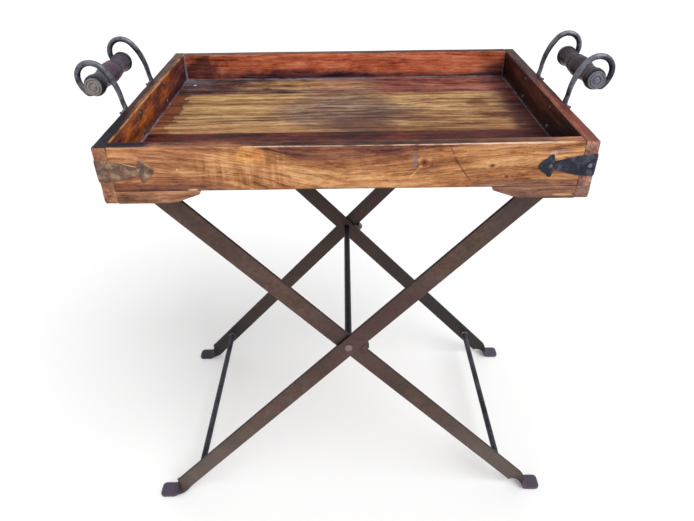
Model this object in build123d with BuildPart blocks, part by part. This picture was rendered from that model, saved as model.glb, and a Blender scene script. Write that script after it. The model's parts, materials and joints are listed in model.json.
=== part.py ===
"""Folding tray table: a hardwood gallery tray on a cross-legged iron stand.

Frame: +X along the tray's length, +Y from front to back, +Z up.
The origin is on the ground, under the middle of the table. Millimetres.
"""
from build123d import *
from math import cos, radians, sin, tan
import os

os.makedirs("parts", exist_ok=True)

# ---------------------------------------------------------------- driving dimensions
# Tray
tray_length = 570.0
tray_depth = 402.0
tray_top = 666.0              # height of the rim above the ground
wall_height = 55.0
wall_thickness = 16.0
plank_thickness = 14.0
plank_gap = 0.4
back_joint_y = 108.0          # joint between the back and the middle plank
front_joint_y = -58.0         # joint between the middle and the front plank
rim_round = 1.5               # worn top edges
foot_height = 16.0            # foot rails and brackets under the walls
bracket_thickness = 18.0
bracket_flat_end = 215.0      # distance of the end of the bracket's flat from the middle
bracket_tip = 170.0           # distance of the bracket's beak from the middle
bracket_beak_in = 2.0         # the beak's blunt end leans in by this much
bracket_beak_drop = 5.0       # height of the beak's blunt end
bracket_curve_mid = (192.0, -12.0)
cleat_x = 120.0
cleat_width = 30.0
cleat_thickness = 10.0
cleat_inset = 12.0
cleat_chamfer = 2.0
rail_round = 2.0              # low outer edge of a foot rail

# Nails
nail_head_radius = 2.5
nail_head_height = 0.6
nail_shank_radius = 1.1
corner_nail_drops = (8.0, 48.0)
corner_nail_length = 40.0
bracket_nail_xs = (222.0, 240.0)
bracket_nail_length = 32.0
rail_nail_ys = (-140.0, 0.0, 140.0)
rail_nail_length = 34.0
cleat_nail_ys = (-150.0, -80.0, 20.0, 150.0)
cleat_nail_length = 20.0

# Corner straps
strap_thickness = 1.6
strap_drop = 29.0             # strap centre line below the rim
strap_root_half = 13.6
strap_swell = (20.0, 12.0)    # from the corner along the leaf, and half width there
strap_neck = (44.0, 6.0)
strap_bite = (47.6, 7.2)
strap_barb_back = (48.8, 10.0)
strap_barb_top = (51.5, 13.9)
strap_barb_front = (55.2, 11.6)
strap_point_side = (60.8, 6.6)
strap_length = 65.5
strap_nails_at = (7.0, 52.0)
strap_nail_radii = (2.6, 1.2) # base and top of the hammered head
strap_nail_head = 1.2
strap_nail_shank_radius = 1.0
strap_nail_length = strap_thickness + 5.4

# Handles
handle_spacing = 123.0        # between the two hooks of a handle
handle_offset = -6.0          # the handles sit a little forward of the middle
hook_bar = 7.5
hook_foot = (-2.0, 3.0)       # where the round bar grows out of the flat foot
hook_turns = ((8.5, 30.0), (20.0, 50.0), (35.0, 57.0), (53.5, 38.0), (44.5, 18.5))
paddle_width = 13.0
paddle_thickness = 4.0
paddle_length = 50.0
paddle_rise = 6.0             # flattened foot of a hook, above the rim
disc_radius = 11.5
disc_thickness = 4.0
grip_out = 36.5               # grip axis beyond the outer face of the wall
grip_up = 27.0                # grip axis above the rim
grip_rod_radius = 2.5
grip_play = 0.3               # end play between a ferrule and its disc
ferrule_radius = 13.8
ferrule_length = 7.0
ferrule_skin = 1.2
ferrule_room = 0.6            # the bar is dressed flat this far around a ferrule
grip_end_radius = 12.5
grip_cove_radius = 11.8
grip_belly_radius = 14.2
grip_ring_radius = 13.4
grip_groove_radius = 12.6
grip_cove_at = 32.0           # places along the grip, from its middle
grip_ring_at = 14.0
grip_groove_at = 12.0
grip_belly_end = 10.0
grip_belly_at = 5.2
grip_belly_drop = 0.2
ferrule_taper = 2.0
button_height = 1.0           # peened ends of a grip rod
button_radius = 3.5
button_round = 0.2
button_top_radius = 1.8
grip_bore = grip_rod_radius + 0.06
screw_radius = 2.0
screw_drops = (8.0, 34.0)     # screws below the rim
screw_proud = 11.0            # screw end beyond the outer face of the wall
nut_flats = 7.0
nut_thickness = 3.2
screw_head_radii = (2.2, 3.2) # at the wall and at its widest
screw_head = 1.4

# Stand
bar_width = 27.0
bar_thickness = 5.0
rod_radius = 5.25
pivot_height = 340.0
leg_angle = 47.3              # legs above the ground, in degrees
stand_depth = 354.4           # over the two outer legs
leg_gap = 0.8                 # between an outer and an inner leg
seat_clearance = 0.3          # between the stand and the boards it carries
lower_rod_at = 380.0          # lower stretcher, down the leg from the pivot
leg_end_beyond_rod = 9.0
twist_length = 27.0
foot_bend_radius = 8.0
bend_overlap = 0.5            # the bent foot runs this far into the twist
foot_pad_reach = 336.5        # pad end from the middle of the table
foot_pad_round = 7.0
weld_radius = 8.0
weld_length = 3.5
spindle_radius = 4.0
spindle_clearance = 0.06
rivet_radius = 6.0
rivet_height = 3.0
rivet_dome = (0.7, 0.62)      # a point on the dome, as shares of height and radius
lug_reach = 12.0
lug_side = 9.5                # length of the lug's two sides, along the legs
lug_root = 0.5

# ---------------------------------------------------------------- worked-out places
board_bottom = tray_top - wall_height
floor_top = board_bottom + plank_thickness
foot_bottom = board_bottom - foot_height
half_length = tray_length / 2
half_depth = tray_depth / 2
inner_half_length = half_length - wall_thickness
inner_half_depth = half_depth - wall_thickness
hook_ys = (handle_offset - handle_spacing / 2, handle_offset + handle_spacing / 2)
grip_z = tray_top + grip_up
strap_z = tray_top - strap_drop

leg_cos = cos(radians(leg_angle))
leg_sin = sin(radians(leg_angle))
outer_leg_y = stand_depth / 2 - bar_thickness / 2
inner_leg_y = outer_leg_y - bar_thickness - leg_gap
top_rod_z = board_bottom - seat_clearance - rod_radius
top_rod_at = (top_rod_z - pivot_height) / leg_sin
half_turn_tan = tan(radians(leg_angle / 2))
corner_at = (pivot_height - bar_thickness / 2) / leg_sin
bend_start = corner_at - foot_bend_radius * half_turn_tan
foot_bend_end = corner_at * leg_cos + foot_bend_radius * half_turn_tan
twist_start = bend_start - twist_length
twist_steps = (0, 22.5, 45, 67.5, 90)


def finish(piece, name):
    """Label a finished piece and write it as one node."""
    piece.part.label = name
    export_step(piece.part, f"parts/{name}.step")


def side_name(sign_x):
    return "left" if sign_x < 0 else "right"


def end_name(sign_y):
    return "front" if sign_y < 0 else "back"


# ---------------------------------------------------------------- tray: walls and bottom
for sign_y in (-1, 1):
    with BuildPart() as long_board:
        with Locations((0, sign_y * (half_depth - wall_thickness / 2), board_bottom)):
            Box(2 * inner_half_length, wall_thickness, wall_height,
                align=(Align.CENTER, Align.CENTER, Align.MIN))
        top_edges = long_board.edges().filter_by(Axis.X).group_by(Axis.Z)[-1]
        fillet(top_edges, radius=rim_round)
    finish(long_board, f"{end_name(sign_y)}_board")

for sign_x in (-1, 1):
    with BuildPart() as end_board:
        with Locations((sign_x * (half_length - wall_thickness / 2), 0, board_bottom)):
            Box(wall_thickness, tray_depth, wall_height,
                align=(Align.CENTER, Align.CENTER, Align.MIN))
        top_edges = end_board.edges().filter_by(Axis.Y).group_by(Axis.Z)[-1]
        fillet(top_edges, radius=rim_round)
        with BuildSketch(Plane.YZ.offset(sign_x * half_length)):
            with Locations(*[(y, tray_top - drop) for y in hook_ys for drop in screw_drops]):
                Circle(screw_radius)
        extrude(amount=wall_thickness, both=True, mode=Mode.SUBTRACT)
    finish(end_board, f"{side_name(sign_x)}_end_board")

plank_edges = {
    "back_plank": (back_joint_y + plank_gap / 2, inner_half_depth),
    "middle_plank": (front_joint_y + plank_gap / 2, back_joint_y - plank_gap / 2),
    "front_plank": (-inner_half_depth, front_joint_y - plank_gap / 2),
}
for plank_name, (y_low, y_high) in plank_edges.items():
    with BuildPart() as plank:
        with Locations((0, (y_low + y_high) / 2, board_bottom)):
            Box(2 * inner_half_length, y_high - y_low, plank_thickness,
                align=(Align.CENTER, Align.CENTER, Align.MIN))
    finish(plank, plank_name)

cleat_half_depth = inner_half_depth - cleat_inset
for sign_x in (-1, 1):
    with BuildPart() as cleat:
        with Locations((sign_x * cleat_x, 0, board_bottom)):
            Box(cleat_width, 2 * cleat_half_depth, cleat_thickness,
                align=(Align.CENTER, Align.CENTER, Align.MAX))
        chamfer(cleat.edges().filter_by(Axis.Y).group_by(Axis.Z)[0], length=cleat_chamfer)
    finish(cleat, f"{side_name(sign_x)}_cleat")

# ---------------------------------------------------------------- tray: foot rails and brackets
for sign_x in (-1, 1):
    with BuildPart() as foot_rail:
        with Locations((sign_x * (half_length - wall_thickness / 2), 0, board_bottom)):
            Box(wall_thickness, tray_depth, foot_height,
                align=(Align.CENTER, Align.CENTER, Align.MAX))
        low_outer_edge = foot_rail.edges().filter_by(Axis.Y).group_by(Axis.Z)[0]
        fillet(low_outer_edge.sort_by(Axis.X)[0 if sign_x < 0 else -1], radius=rail_round)
    finish(foot_rail, f"{side_name(sign_x)}_foot_rail")


def bracket_face(sign_x, sign_y):
    """Vertical plane on the outer face of a long board, x running outward."""
    return Plane(origin=(0, sign_y * half_depth, board_bottom),
                 x_dir=(sign_x, 0, 0), z_dir=(0, -sign_x, 0))


beak_end = (bracket_tip + bracket_beak_in, -bracket_beak_drop)
for sign_x in (-1, 1):
    for sign_y in (-1, 1):
        with BuildPart() as bracket:
            with BuildSketch(bracket_face(sign_x, sign_y)):
                with BuildLine():
                    Line((inner_half_length, 0), (inner_half_length, -foot_height))
                    Line((inner_half_length, -foot_height), (bracket_flat_end, -foot_height))
                    swell = TangentArc((bracket_flat_end, -foot_height), bracket_curve_mid,
                                       tangent=(-1, 0))
                    Line(swell @ 1, beak_end)
                    Line(beak_end, (bracket_tip, 0))
                    Line((bracket_tip, 0), (inner_half_length, 0))
                make_face()
            extrude(amount=bracket_thickness * sign_x * sign_y)
        finish(bracket, f"{end_name(sign_y)}_{side_name(sign_x)}_bracket")


# ---------------------------------------------------------------- tray: corner straps
def strap_leaf_outline():
    """Half of a barbed spear-head: x runs from the corner to the tip."""
    root = (-strap_thickness, strap_root_half)
    with BuildLine() as outline:
        Line((-strap_thickness, 0), root)
        ThreePointArc(root, strap_swell, strap_neck)
        ThreePointArc(strap_neck, strap_bite, strap_barb_back)
        ThreePointArc(strap_barb_back, strap_barb_top, strap_barb_front)
        ThreePointArc(strap_barb_front, strap_point_side, (strap_length, 0))
        mirror(about=Plane.XZ)
    return outline


def leaf_planes(sign_x, sign_y):
    """The two outer faces that meet at a corner, with x running inward from it."""
    corner = (sign_x * half_length, sign_y * half_depth, strap_z)
    along_length = Plane(origin=corner, x_dir=(-sign_x, 0, 0), z_dir=(0, sign_y, 0))
    along_depth = Plane(origin=corner, x_dir=(0, -sign_y, 0), z_dir=(sign_x, 0, 0))
    return along_length, along_depth


corners = [(sign_x, sign_y) for sign_x in (-1, 1) for sign_y in (-1, 1)]
for sign_x, sign_y in corners:
    with BuildPart() as strap:
        for leaf_plane in leaf_planes(sign_x, sign_y):
            with BuildSketch(leaf_plane):
                make_face(strap_leaf_outline().edges())
            extrude(amount=strap_thickness)
    finish(strap, f"{end_name(sign_y)}_{side_name(sign_x)}_strap")

with BuildPart() as strap_nails:
    for sign_x, sign_y in corners:
        for leaf_plane in leaf_planes(sign_x, sign_y):
            for distance in strap_nails_at:
                with Locations(leaf_plane.offset(strap_thickness).location):
                    with Locations((distance, 0, 0)):
                        Cone(bottom_radius=strap_nail_radii[0], top_radius=strap_nail_radii[1],
                             height=strap_nail_head,
                             align=(Align.CENTER, Align.CENTER, Align.MIN))
                        Cylinder(radius=strap_nail_shank_radius, height=strap_nail_length,
                                 align=(Align.CENTER, Align.CENTER, Align.MAX))
finish(strap_nails, "strap_nails")


# ---------------------------------------------------------------- tray: nails
def nail(shank_length):
    """A flat-headed nail at the current location, its shank pointing along -Z."""
    Cylinder(radius=nail_head_radius, height=nail_head_height,
             align=(Align.CENTER, Align.CENTER, Align.MIN))
    Cylinder(radius=nail_shank_radius, height=shank_length,
             align=(Align.CENTER, Align.CENTER, Align.MAX))


with BuildPart() as corner_nails:
    for sign_x, sign_y in corners:
        for drop in corner_nail_drops:
            head_at = (sign_x * half_length, sign_y * (half_depth - wall_thickness / 2),
                       tray_top - drop)
            with Locations(Plane(origin=head_at, z_dir=(sign_x, 0, 0)).location):
                nail(corner_nail_length)
finish(corner_nails, "corner_nails")

bracket_nail_y = half_depth - bracket_thickness / 2
rail_middle = half_length - wall_thickness / 2
with BuildPart() as underside_nails:
    for sign_x, sign_y in corners:
        for x in bracket_nail_xs:
            head_at = (sign_x * x, sign_y * bracket_nail_y, foot_bottom)
            with Locations(Plane(origin=head_at, z_dir=(0, 0, -1)).location):
                nail(bracket_nail_length)
    for sign_x in (-1, 1):
        for y in rail_nail_ys:
            head_at = (sign_x * rail_middle, y, foot_bottom)
            with Locations(Plane(origin=head_at, z_dir=(0, 0, -1)).location):
                nail(rail_nail_length)
        for y in cleat_nail_ys:
            head_at = (sign_x * cleat_x, y, board_bottom - cleat_thickness)
            with Locations(Plane(origin=head_at, z_dir=(0, 0, -1)).location):
                nail(cleat_nail_length)
finish(underside_nails, "underside_nails")


# ---------------------------------------------------------------- handles
def hook_plane(sign_x, y):
    """Plane of one hook: x outward from the wall's face, y up from the rim."""
    return Plane(origin=(sign_x * half_length, y, tray_top),
                 x_dir=(sign_x, 0, 0), z_dir=(0, -sign_x, 0))


bar_out = hook_bar / 2
for sign_x in (-1, 1):
    for sign_y, hook_y in zip((-1, 1), hook_ys):
        plane = hook_plane(sign_x, hook_y)
        with BuildPart() as hook:
            with BuildLine(plane) as crook:
                stretch = Line((bar_out, hook_foot[0]), (bar_out, hook_foot[1]))
                for turn in hook_turns:
                    stretch = TangentArc(stretch @ 1, turn, tangent=stretch % 1)
            with BuildSketch(Plane(origin=crook.wires()[0] @ 0, z_dir=(0, 0, 1))):
                Circle(hook_bar / 2)
            sweep(path=crook.wires()[0])
            with BuildSketch(plane):
                with Locations((grip_out, grip_up)):
                    Circle(disc_radius)
            extrude(amount=disc_thickness / 2, both=True)
            with BuildSketch(Plane.YZ.offset(sign_x * half_length)):
                with Locations((hook_y, tray_top + paddle_rise - paddle_length / 2)):
                    SlotOverall(paddle_length, paddle_width, rotation=90)
            extrude(amount=sign_x * paddle_thickness)
            with BuildSketch(plane):
                with Locations((grip_out, grip_up)):
                    Circle(grip_rod_radius)
            extrude(amount=disc_thickness, both=True, mode=Mode.SUBTRACT)
            with BuildSketch(Plane.YZ.offset(sign_x * half_length)):
                with Locations(*[(hook_y, tray_top - drop) for drop in screw_drops]):
                    Circle(screw_radius)
            extrude(amount=hook_bar, both=True, mode=Mode.SUBTRACT)
            with BuildSketch(plane.offset(disc_thickness / 2 * sign_x * sign_y)):
                with Locations((grip_out, grip_up)):
                    Circle(ferrule_radius + ferrule_room)
            extrude(amount=hook_bar * sign_x * sign_y, mode=Mode.SUBTRACT)
        finish(hook, f"{side_name(sign_x)}_{end_name(sign_y)}_hook")

grip_middle = (hook_ys[0] + hook_ys[1]) / 2
half_grip = handle_spacing / 2 - disc_thickness / 2 - grip_play
ferrule_start = half_grip - ferrule_length
wood_end = half_grip - ferrule_skin
tenon_radius = ferrule_radius - ferrule_skin
for sign_x in (-1, 1):
    grip_x = sign_x * (half_length + grip_out)
    lathe = Plane(origin=(grip_x, grip_middle, grip_z), x_dir=(0, 1, 0), z_dir=(1, 0, 0))
    spin_axis = Axis((grip_x, 0, grip_z), (0, 1, 0))

    with BuildPart() as grip:
        with BuildSketch(lathe):
            with BuildLine():
                Polyline((0, grip_belly_radius), (0, grip_bore), (wood_end, grip_bore),
                         (wood_end, tenon_radius), (ferrule_start, tenon_radius),
                         (ferrule_start, grip_end_radius))
                ThreePointArc((ferrule_start, grip_end_radius),
                              (grip_cove_at, grip_cove_radius),
                              (grip_ring_at, grip_ring_radius))
                ThreePointArc((grip_ring_at, grip_ring_radius),
                              (grip_groove_at, grip_groove_radius),
                              (grip_belly_end, grip_ring_radius))
                ThreePointArc((grip_belly_end, grip_ring_radius),
                              (grip_belly_at, grip_belly_radius - grip_belly_drop),
                              (0, grip_belly_radius))
            make_face()
            mirror(about=Plane.YZ)
        revolve(axis=spin_axis)
    finish(grip, f"{side_name(sign_x)}_grip")

    with BuildPart() as ferrules:
        with BuildSketch(lathe):
            with BuildLine():
                Polyline((ferrule_start, tenon_radius), (wood_end, tenon_radius),
                         (wood_end, grip_bore), (half_grip, grip_bore),
                         (half_grip, disc_radius), (half_grip - ferrule_taper, ferrule_radius),
                         (ferrule_start, ferrule_radius), close=True)
            make_face()
            mirror(about=Plane.YZ)
        revolve(axis=spin_axis)
    finish(ferrules, f"{side_name(sign_x)}_ferrules")

    rod_half = handle_spacing / 2 + disc_thickness / 2
    button_end = rod_half + button_height
    with BuildPart() as grip_rod:
        with BuildSketch(lathe):
            with BuildLine():
                Polyline((0, 0), (button_end, 0), (button_end, button_top_radius),
                         (button_end - button_height / 2, button_radius - button_round),
                         (rod_half, button_radius), (rod_half, grip_rod_radius),
                         (0, grip_rod_radius), close=True)
            make_face()
            mirror(about=Plane.YZ)
        revolve(axis=spin_axis)
    finish(grip_rod, f"{side_name(sign_x)}_grip_rod")

screw_places = [(sign_x, y, tray_top - drop)
                for sign_x in (-1, 1) for y in hook_ys for drop in screw_drops]
with BuildPart() as handle_screws:
    for sign_x, y, z in screw_places:
        inner_face = (sign_x * inner_half_length, y, z)
        with Locations(Plane(origin=inner_face, z_dir=(sign_x, 0, 0)).location):
            Cylinder(radius=screw_radius, height=wall_thickness + screw_proud,
                     align=(Align.CENTER, Align.CENTER, Align.MIN))
            Cone(bottom_radius=screw_head_radii[0], top_radius=screw_head_radii[1],
                 height=screw_head, align=(Align.CENTER, Align.CENTER, Align.MAX))
finish(handle_screws, "handle_screws")

with BuildPart() as handle_nuts:
    for sign_x, y, z in screw_places:
        paddle_face = (sign_x * (half_length + paddle_thickness), y, z)
        with BuildSketch(Plane(origin=paddle_face, z_dir=(sign_x, 0, 0))):
            Rectangle(nut_flats, nut_flats)
            Circle(screw_radius, mode=Mode.SUBTRACT)
        extrude(amount=nut_thickness)
finish(handle_nuts, "handle_nuts")


# ---------------------------------------------------------------- stand: legs
class Leg:
    """Places on one leg: s runs down its centre line from the pivot."""

    def __init__(self, foot_side, y):
        self.foot_side = foot_side
        self.y = y
        self.down = Vector(foot_side * leg_cos, 0, -leg_sin)
        self.upper = Vector(foot_side * leg_sin, 0, leg_cos)
        self.cross = Vector(0, -foot_side, 0)

    def at(self, s):
        return Vector(0, self.y, pivot_height) + self.down * s

    def side_plane(self):
        """Plane of the bar's broad side, x down the leg and y to its upper edge."""
        return Plane(origin=self.at(0), x_dir=self.down, z_dir=self.cross)

    def section_plane(self, s, turn):
        """Plane across the bar, its x axis along the bar's width after a twist."""
        width_dir = self.upper * cos(radians(turn)) + self.cross * sin(radians(turn))
        return Plane(origin=self.at(s), x_dir=width_dir, z_dir=self.down)


def tuple_xz(point):
    return (point.X, point.Z)


def build_leg(leg, hole_radius):
    """A flat bar, cut level at the top, with a quarter twist into a flat foot pad."""
    head_at = -(top_rod_at + leg_end_beyond_rod)
    with BuildPart() as bar:
        with BuildSketch(leg.side_plane()):
            with Locations(((head_at + twist_start) / 2, 0)):
                Rectangle(twist_start - head_at, bar_width)
        extrude(amount=bar_thickness / 2, both=True)
        split(bisect_by=Plane.XY.offset(board_bottom - seat_clearance), keep=Keep.BOTTOM)
        with BuildSketch(leg.side_plane()):
            Circle(hole_radius)
        extrude(amount=bar_thickness, both=True, mode=Mode.SUBTRACT)
        for turn in twist_steps:
            s = twist_start + twist_length * turn / 90
            with BuildSketch(leg.section_plane(s, turn)):
                Rectangle(bar_width, bar_thickness)
        loft()
        with BuildSketch(Plane.XZ.offset(-leg.y)):
            with BuildLine():
                lead = Line(tuple_xz(leg.at(bend_start - bend_overlap)),
                            tuple_xz(leg.at(bend_start)))
                bend = TangentArc(lead @ 1, (foot_bend_end * leg.foot_side, bar_thickness / 2),
                                  tangent=lead % 1)
                Line(bend @ 1, (foot_pad_reach * leg.foot_side, bar_thickness / 2))
            trace(line_width=bar_thickness)
        extrude(amount=bar_width / 2, both=True)
        pad_end = bar.edges().filter_by(Axis.Z).sort_by(Axis.X)
        pad_corners = pad_end[-2:] if leg.foot_side > 0 else pad_end[:2]
        fillet(pad_corners, radius=foot_pad_round)
    return bar


frames = {
    "outer": (-1, outer_leg_y, spindle_radius + spindle_clearance),
    "inner": (1, inner_leg_y, spindle_radius),
}
for frame_name, (foot_side, leg_y, hole_radius) in frames.items():
    for sign_y in (-1, 1):
        bar = build_leg(Leg(foot_side, sign_y * leg_y), hole_radius)
        finish(bar, f"{frame_name}_{end_name(sign_y)}_leg")

# ---------------------------------------------------------------- stand: rods
for frame_name, (foot_side, leg_y, hole_radius) in frames.items():
    leg = Leg(foot_side, 0)
    half_span = leg_y - bar_thickness / 2
    for rod_name, s, end_radius in (("top", -top_rod_at, rod_radius),
                                    ("lower", lower_rod_at, weld_radius)):
        rod_plane = Plane(origin=leg.at(s), x_dir=(0, 1, 0), z_dir=(1, 0, 0))
        with BuildPart() as rod:
            with BuildSketch(rod_plane):
                with BuildLine():
                    Polyline((0, rod_radius), (0, 0), (half_span, 0), (half_span, end_radius),
                             (half_span - weld_length, rod_radius), close=True)
                make_face()
                mirror(about=Plane.YZ)
            revolve(axis=Axis(leg.at(s), (0, 1, 0)))
        finish(rod, f"{frame_name}_{rod_name}_rod")

spindle_end = stand_depth / 2 + seat_clearance
inner_span = inner_leg_y - bar_thickness / 2
with BuildPart() as pivot_rod:
    with BuildSketch(Plane(origin=(0, 0, pivot_height), x_dir=(0, 1, 0), z_dir=(1, 0, 0))):
        with BuildLine():
            Polyline((spindle_end, rivet_radius), (spindle_end, spindle_radius),
                     (inner_span, spindle_radius), (inner_span, rod_radius),
                     (0, rod_radius), (0, 0), (spindle_end + rivet_height, 0))
            ThreePointArc((spindle_end + rivet_height, 0),
                          (spindle_end + rivet_height * rivet_dome[0],
                           rivet_radius * rivet_dome[1]),
                          (spindle_end, rivet_radius))
        make_face()
        mirror(about=Plane.YZ)
    revolve(axis=Axis((0, 0, pivot_height), (0, 1, 0)))
finish(pivot_rod, "pivot_rod")

# ---------------------------------------------------------------- stand: stop lugs
crotch_x = bar_width / 2 / leg_sin
lug_depth = 2 * bar_thickness + leg_gap
for sign_y in (-1, 1):
    lug_y = sign_y * (inner_leg_y - bar_thickness / 2)
    crotch = Plane(origin=(crotch_x, lug_y, pivot_height), x_dir=(1, 0, 0), z_dir=(0, -1, 0))
    with BuildPart() as lug:
        with BuildSketch(crotch):
            with BuildLine():
                Polyline((lug_root * leg_cos, -lug_root * leg_sin),
                         (lug_side * leg_cos, -lug_side * leg_sin), (lug_reach, 0),
                         (lug_side * leg_cos, lug_side * leg_sin - 2 * seat_clearance),
                         close=True)
            make_face()
        extrude(amount=-sign_y * lug_depth)
    finish(lug, f"{end_name(sign_y)}_stop_lug")
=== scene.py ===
"""Looks of the folding tray table: a worn hardwood tray on a forged iron stand.

Metres, in the row frame: +X along the tray, +Y from front to back, +Z up from the ground.
"""
import json
from math import atan2, cos, pi, radians, sin, sqrt, tan

import bmesh
import bpy
from mathutils import Matrix, Vector, noise

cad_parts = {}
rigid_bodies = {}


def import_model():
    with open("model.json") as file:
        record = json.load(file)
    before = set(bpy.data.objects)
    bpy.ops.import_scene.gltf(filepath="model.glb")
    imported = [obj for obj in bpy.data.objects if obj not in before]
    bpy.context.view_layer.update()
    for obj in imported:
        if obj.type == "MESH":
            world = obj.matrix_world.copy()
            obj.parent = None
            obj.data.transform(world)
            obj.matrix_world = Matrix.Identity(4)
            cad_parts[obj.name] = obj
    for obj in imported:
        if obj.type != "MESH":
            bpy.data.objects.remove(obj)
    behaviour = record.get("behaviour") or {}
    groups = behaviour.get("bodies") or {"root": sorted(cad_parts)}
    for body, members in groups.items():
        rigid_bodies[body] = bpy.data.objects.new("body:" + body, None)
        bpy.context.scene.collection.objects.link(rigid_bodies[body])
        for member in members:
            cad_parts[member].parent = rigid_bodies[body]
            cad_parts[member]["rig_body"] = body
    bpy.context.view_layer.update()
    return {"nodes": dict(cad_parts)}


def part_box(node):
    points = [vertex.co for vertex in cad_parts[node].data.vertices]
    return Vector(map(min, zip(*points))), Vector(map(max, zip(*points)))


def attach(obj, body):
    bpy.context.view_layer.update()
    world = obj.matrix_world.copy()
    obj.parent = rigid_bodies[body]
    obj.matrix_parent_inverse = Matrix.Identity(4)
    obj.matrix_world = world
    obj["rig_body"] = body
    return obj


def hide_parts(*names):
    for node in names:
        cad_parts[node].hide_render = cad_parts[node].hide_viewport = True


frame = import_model()
noise.seed_set(1)  # vector noise follows the clock unless it is seeded

MM = 0.001
ALONG_Y = (0, 1, 0)
SIDES = {"left": -1, "right": 1}
ENDS = {"front": -1, "back": 1}
CORNERS = [(side, end, SIDES[side], ENDS[end]) for side in SIDES for end in ENDS]


def middle(node):
    return [(low + high) / 2 for low, high in zip(*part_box(node))]


# ---------------------------------------------------------------- places, from the frame
tray_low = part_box("left_end_board")[0]
tray_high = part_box("right_end_board")[1]
rim_z = tray_high.z
low_z = tray_low.z
inner_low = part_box("front_plank")[0]
inner_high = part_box("back_plank")[1]
floor_top = inner_high.z
wall = inner_low.x - tray_low.x
strap_z = middle("front_left_strap")[2]
foot_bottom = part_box("left_foot_rail")[0].z
pivot_z = middle("pivot_rod")[2]
stand_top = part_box("outer_front_leg")[1].z

# ---------------------------------------------------------------- driving sizes of the details
strap_thickness = 1.6 * MM
strap_nails_at = (7.0 * MM, 52.0 * MM)
bar_width = 27.0 * MM
bar_thickness = 5.0 * MM
leg_angle = radians(47.3)
twist_length = 27.0 * MM
foot_bend_radius = 8.0 * MM
foot_pad_round = 7.0 * MM
leg_end_beyond_rod = 9.0 * MM
hook_bar = 7.5 * MM
grip_out = 36.5 * MM
grip_up = 27.0 * MM
paddle_thickness = 4.0 * MM
# The radii of what is turned on a lathe are in millimetres.
rod_radius = 5.25
grip_rod_radius = 2.5


# ---------------------------------------------------------------- mesh helpers
class Shape:
    """Vertices and faces that become one piece."""

    def __init__(self, points=(), faces=()):
        self.points = [Vector(point) for point in points]
        self.faces = list(faces)

    def add(self, other):
        start = len(self.points)
        self.points += other.points
        self.faces += [[start + index for index in face] for face in other.faces]

    def roughen(self, amount, frequency, seed):
        """Push every point a little, by smooth noise."""
        offset = Vector((seed * 7.31, seed * 3.17, seed * 5.93))
        for point in self.points:
            point += amount * noise.noise_vector(point * frequency + offset)
        return self


def add_piece(name, shape, material, body, replaces=(), sharp=35):
    mesh = bpy.data.meshes.new(name)
    mesh.from_pydata([tuple(point) for point in shape.points], [], shape.faces)
    builder = bmesh.new()
    builder.from_mesh(mesh)
    bmesh.ops.recalc_face_normals(builder, faces=builder.faces)
    builder.to_mesh(mesh)
    builder.free()
    mesh.shade_smooth()
    mesh.set_sharp_from_angle(angle=radians(sharp))
    mesh.materials.append(material)
    piece = bpy.data.objects.new(name, mesh)
    bpy.context.scene.collection.objects.link(piece)
    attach(piece, body)
    if replaces:
        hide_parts(*replaces)


def body_of(node):
    return frame["nodes"][node]["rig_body"]


def remake(how, node, shape, material, sharp=35):
    """A piece that stands in for one CAD node."""
    add_piece(f"{how}_{node}", shape, material, body_of(node), [node], sharp)


def smooth_step(value, low, high):
    t = min(1.0, max(0.0, (value - low) / (high - low)))
    return t * t * (3 - 2 * t)


def even(low, high, step):
    """Places from low to high, evenly spaced, with finer ones near both ends."""
    fine = [d * MM for d in (0.4, 0.9, 1.6, 2.6, 4.5)]
    inner = high - low - 2 * fine[-1]
    count = max(1, round(inner / step))
    middle = [low + fine[-1] + inner * index / count for index in range(1, count)]
    return ([low] + [low + d for d in fine] + middle
            + [high - d for d in reversed(fine)] + [high])


def block_grid(low, high, step):
    """The skin of a box, divided into small squares."""
    axes = [even(low[axis], high[axis], step) for axis in range(3)]
    indices = {}
    faces = []
    for axis in range(3):
        first, second = [other for other in range(3) if other != axis]
        for side in (0, len(axes[axis]) - 1):
            for a in range(len(axes[first]) - 1):
                for b in range(len(axes[second]) - 1):
                    quad = []
                    for da, db in ((0, 0), (1, 0), (1, 1), (0, 1)):
                        place = [side] * 3
                        place[first] = a + da
                        place[second] = b + db
                        quad.append(indices.setdefault(tuple(place), len(indices)))
                    faces.append(quad)
    points = [Vector([axes[axis][place[axis]] for axis in range(3)]) for place in indices]
    return points, faces


def worn_block(node, sharp_edge, soft_edge, softness, seed, hollow=0.25):
    """A board: its edges are rounded by wear, more where softness(point) says so.

    The radii of its edges and the depth of its hollows are in millimetres.
    """
    low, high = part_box(node)
    sharp_edge, soft_edge = sharp_edge * MM, soft_edge * MM
    points, faces = block_grid(low, high, 9 * MM)
    offset = Vector((seed * 11.7, seed * 4.1, seed * 8.3))
    worn = []
    for point in points:
        wear = 0.75 + 0.6 * noise.noise(point * 22 + offset)
        dent = max(0.0, noise.noise(point * 55 + offset) - 0.42) * 2.2
        radius = sharp_edge + (soft_edge * wear + soft_edge * dent - sharp_edge) * softness(point)
        radius = max(sharp_edge, radius)
        core = Vector([min(max(point[axis], low[axis] + radius), high[axis] - radius)
                       for axis in range(3)])
        out = point - core
        if out.length > 0:
            out = out.normalized()
        dish = hollow * MM * (0.5 + 0.5 * noise.noise(point * 9 + offset))
        worn.append(core + out * (radius - dish))
    return Shape(worn, faces)


def rounded_section(half_u, half_v, radius, steps=4):
    """A rounded rectangle, or a circle when both half sizes equal the radius."""
    radius = min(radius, half_u, half_v)
    section = []
    for quarter in range(4):
        centre_u = (half_u - radius) * (1, -1, -1, 1)[quarter]
        centre_v = (half_v - radius) * (1, 1, -1, -1)[quarter]
        for step in range(steps + 1):
            angle = (quarter + step / steps) * pi / 2
            section.append((centre_u + radius * cos(angle), centre_v + radius * sin(angle)))
    return section


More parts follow.
